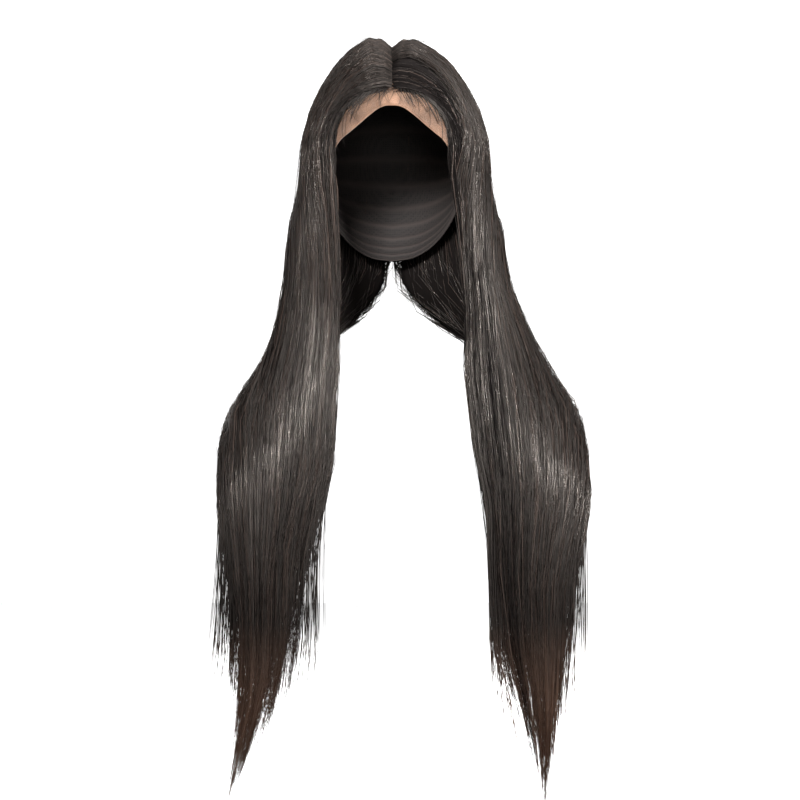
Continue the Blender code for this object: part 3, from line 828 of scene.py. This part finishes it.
def edgeWays(edge, shares):
    knots = np.linspace(0, 1, len(capForm[edge + "Azimuth"]))
    azimuth = between(knots, capForm[edge + "Azimuth"], np.abs(shares))
    depth = between(knots, capForm[edge + "Depth"], np.abs(shares)) * capForm["crownHeight"]
    ways = unit(capWay(azimuth, depth))
    ways[:, 0] *= np.where(shares < 0, -1, 1)
    return ways


def seamWays(shares):
    ahead = capForm["seamBehindCrown"] / capForm["halfLength"]
    rise = capForm["crownHeight"] * math.sqrt(1 - ahead**2)
    top = unit(np.array([0.0, capForm["seamBehindCrown"], rise]))
    turn = np.radians(shares * capForm["seamHalfTurn"])[:, None]
    return np.cos(turn) * top + np.sin(turn) * np.array([1.0, 0.0, 0.0])


def onPanel(first, last, across, down, offset):
    # A point of a panel: across from -1 to 1, down from its first edge to its last
    place = (np.clip(across, -1, 1) + 1) / 2 * (len(first) - 1)
    i = np.minimum(place.astype(int), len(first) - 2)
    f = (place - i)[..., None]
    start = first[i] * (1 - f) + first[i + 1] * f
    end = last[i] * (1 - f) + last[i + 1] * f
    return capPoint(start * (1 - down[..., None]) + end * down[..., None], offset)


centre = np.array([0.0, 0.0, -capForm["crownHeight"]])


def makeLace(material):
    shares = np.linspace(-1, 1, lace["edgePoints"])
    first, last = edgeWays("laceEdge", shares), seamWays(shares)
    wide, deep = lace["flat"][0], lace["depth"]
    slant = 2 * deep / wide
    lines = int((wide + deep) / (lace["pitch"] * math.sqrt(2)))
    down = np.linspace(0, 1, int(deep * math.sqrt(2) / lace["step"]))
    vertices, faces, used = [], [], 0
    for family in (1, -1):
        for k in range(lines):
            across = family * (-1 - slant + k / lines * (2 + slant) + down * slant)
            keep = np.abs(across) <= 1
            if keep.sum() < 3:
                continue
            points = onPanel(first, last, across[keep], down[keep],
                             np.full(keep.sum(), capForm["wall"] / 2))[None]
            radii = np.full(points.shape[:2], lace["threadRadius"])
            made, triangles = tubes(points, unit(points - centre), radii, lace["threadFlatness"])
            vertices.append(made)
            faces.append(triangles + used)
            used += len(made)
    edge = capPoint(first, np.full(len(first), capForm["wall"] / 2))[None]
    radii = np.full(edge.shape[:2], lace["cordRadius"])
    made, triangles = tubes(edge, unit(edge - centre), radii, lace["cordFlatness"])
    vertices.append(made)
    faces.append(triangles + used)
    piece = addPiece("laceNet", np.concatenate(vertices), np.concatenate(faces)[:, ::-1], [material])
    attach(piece, "root")
    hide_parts("lace_front")


makeLace(makeLaceThread())


# Baby hair along the hairline, lying on the lace
babyHair = {
    "count": 190,
    "along": 0.19,  # how far along the hairline they start
    "shortest": 0.014,
    "longest": 0.054,
    "longestAtMiddle": 0.018,
    "radius": 0.00042,
    "taper": 0.65,
    "height": 0.0004,  # above the cap's wall at the root, and how much more in the middle
    "arch": 0.0012,
    "outward": 0.60,  # how far they turn to the sides, away from the middle
    "uneven": 0.22,
    "curl": 0.5,
    "tone": 0.1,
    "steps": 10,
    "seed": 5,
}


def makeBabyHair(material):
    random = np.random.default_rng(babyHair["seed"])
    count, steps = babyHair["count"], babyHair["steps"]
    way = np.where(random.random(count) < 0.5, -1.0, 1.0)
    s = babyHair["along"] * ((np.arange(count) + random.random(count)) / count) ** 0.9
    root, _ = onSheet("left", np.zeros(count), s, np.zeros(count))
    root[:, 0] *= way
    length = random.uniform(babyHair["shortest"], babyHair["longest"], count)
    length = np.minimum(length, babyHair["longestAtMiddle"] + np.abs(root[:, 0]) * 0.60)
    turn = np.arctan2(root[:, 0], 0.05) * babyHair["outward"] + random.normal(0, babyHair["uneven"], count)
    curl = random.normal(0, babyHair["curl"], count)
    share = np.linspace(0, 1, steps)
    rows, here = [], root
    for step in range(steps):
        height = babyHair["height"] + babyHair["arch"] * math.sin(share[step] * math.pi)
        height += babyHair["height"] if step else 0
        here = capPoint(here - centre, np.full(count, capForm["wall"] + height))
        rows.append(here)
        angle = turn + curl * share[step]
        heading = np.stack([np.sin(angle), np.zeros(count), -np.cos(angle)], -1)
        here = here + heading * (length / (steps - 1))[:, None]
    points = np.stack(rows, 1)
    radii = babyHair["radius"] * (1 - babyHair["taper"] * share)[None].repeat(count, 0)
    tone, along = random.random(count) * babyHair["tone"], np.full((count, steps), 0.2)
    strand = (points, unit(points - centre), radii, tone, along, np.zeros(count, bool))
    vertices, faces, tones, alongs, _ = joined([strand])
    piece = addPiece("babyHair", vertices, faces[:, ::-1], [material], {"tone": tones, "along": alongs})
    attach(piece, "root")
    print("baby hair:", len(faces), "triangles")


makeBabyHair(hairMaterial)


# Stretch cap with its rows of weft, which show inside through the open front
cap = {"columns": 73, "rows": 121, "start": 0.004, "tracks": 15, "trackRise": 0.0008, "flat": (0.38, 0.24)}


def makeCap(material):
    columns, rows = cap["columns"], cap["rows"]
    shares = np.linspace(-1, 1, columns)
    first, last = seamWays(shares), edgeWays("napeEdge", shares)
    across = shares[None].repeat(rows, 0)
    down = np.linspace(cap["start"], 1, rows)[:, None].repeat(columns, 1)
    ridge = np.maximum(np.cos(down * cap["tracks"] * 2 * math.pi), 0) ** 2
    inside = onPanel(first, last, across, down, -cap["trackRise"] * ridge)
    outside = onPanel(first, last, across, down, np.full(down.shape, capForm["wall"]))
    points, faces = shell(outside, inside)
    track = np.concatenate([np.zeros(ridge.size), ridge.ravel()])
    piece = addPiece("capNet", points, faces[:, ::-1], [material], {"track": track})
    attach(piece, "root")
    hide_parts("stretch_cap")


makeCap(makeCapNet())


# Studio: pale floor and walls, soft light from in front and from behind
studio = {
    "floorZ": -0.80,
    "half": 4.0,
    "height": 4.0,
    "paper": "#fafafa",
    "roughness": 0.9,
    "glow": 1.0,
    "cameraDistance": 2.6,
    "cameraX": 0.0074,
    "cameraZ": -0.321,
    "frameWidth": 0.744,
    "sensor": 36.0,
    "ambientColour": "#ffffff",
    "ambient": 0.07,
}
lamps = {  # places and sizes in metres, power in watts
    "keyLamp": {"place": (-0.5, -2.4, 0.90), "aim": (0, 0, -0.33), "size": (0.6, 0.45), "power": 138},
    "fillLamp": {"place": (1.8, -1.9, 0.65), "aim": (0, 0, -0.33), "size": (0.6, 0.45), "power": 160},
    "lowLamp": {"place": (0.2, -3.0, -0.05), "aim": (0, 0, -0.20), "size": (0.7, 0.5), "power": 14},
    "topLamp": {"place": (0.0, -0.4, 1.9), "aim": (0, 0, -0.1), "size": (1.6, 1.2), "power": 14},
    "rearLeftLamp": {"place": (-1.2, 2.2, 1.1), "aim": (0, 0, -0.30), "size": (1.0, 0.8), "power": 120},
    "rearRightLamp": {"place": (1.0, 2.4, 0.9), "aim": (0, 0, -0.30), "size": (1.0, 0.8), "power": 120},
}


def addLamp(name, lamp):
    light = bpy.data.lights.new(name, "AREA")
    light.shape = "RECTANGLE"
    light.size, light.size_y = lamp["size"]
    light.energy = lamp["power"]
    made = bpy.data.objects.new(name, light)
    bpy.context.scene.collection.objects.link(made)
    made.location = lamp["place"]
    away = Vector(lamp["aim"]) - Vector(lamp["place"])
    made.rotation_euler = away.to_track_quat("-Z", "Y").to_euler()


def makeStudio():
    paper, tree, shader = newMaterial("studioPaper")
    shader.inputs["Base Color"].default_value = hexColour(studio["paper"])
    shader.inputs["Roughness"].default_value = studio["roughness"]
    shader.inputs["Emission Color"].default_value = hexColour(studio["paper"])
    shader.inputs["Emission Strength"].default_value = studio["glow"]
    half, low, high = studio["half"], studio["floorZ"], studio["floorZ"] + studio["height"]
    corners = [(-half, -half), (half, -half), (half, half), (-half, half)]
    points = [(x, y, z) for z in (low, high) for x, y in corners]
    walls = [(k, (k + 1) % 4, (k + 1) % 4 + 4, k + 4) for k in range(4)]
    room = addPiece("studioRoom", points, [(0, 1, 2, 3)] + walls, [paper])
    room.visible_glossy = False  # the paper gives a white ground, and the lamps alone light the hair
    room.visible_diffuse = False
    room.visible_shadow = False
    world = bpy.data.worlds.new("studioWorld")
    bpy.context.scene.world = world
    world.use_nodes = True
    background = world.node_tree.nodes["Background"]
    background.inputs["Color"].default_value = hexColour(studio["ambientColour"])
    background.inputs["Strength"].default_value = studio["ambient"]
    for name, lamp in lamps.items():
        addLamp(name, lamp)
    camera = bpy.data.cameras.new("camera")
    camera.sensor_width = studio["sensor"]
    camera.lens = studio["sensor"] * studio["cameraDistance"] / studio["frameWidth"]
    made = bpy.data.objects.new("camera", camera)
    made.location = (studio["cameraX"], -studio["cameraDistance"], studio["cameraZ"])
    made.rotation_euler = (math.radians(90), 0, 0)
    bpy.context.scene.collection.objects.link(made)
    bpy.context.scene.camera = made
    bpy.context.scene.view_settings.view_transform = "Standard"


makeStudio()
print("studio made")
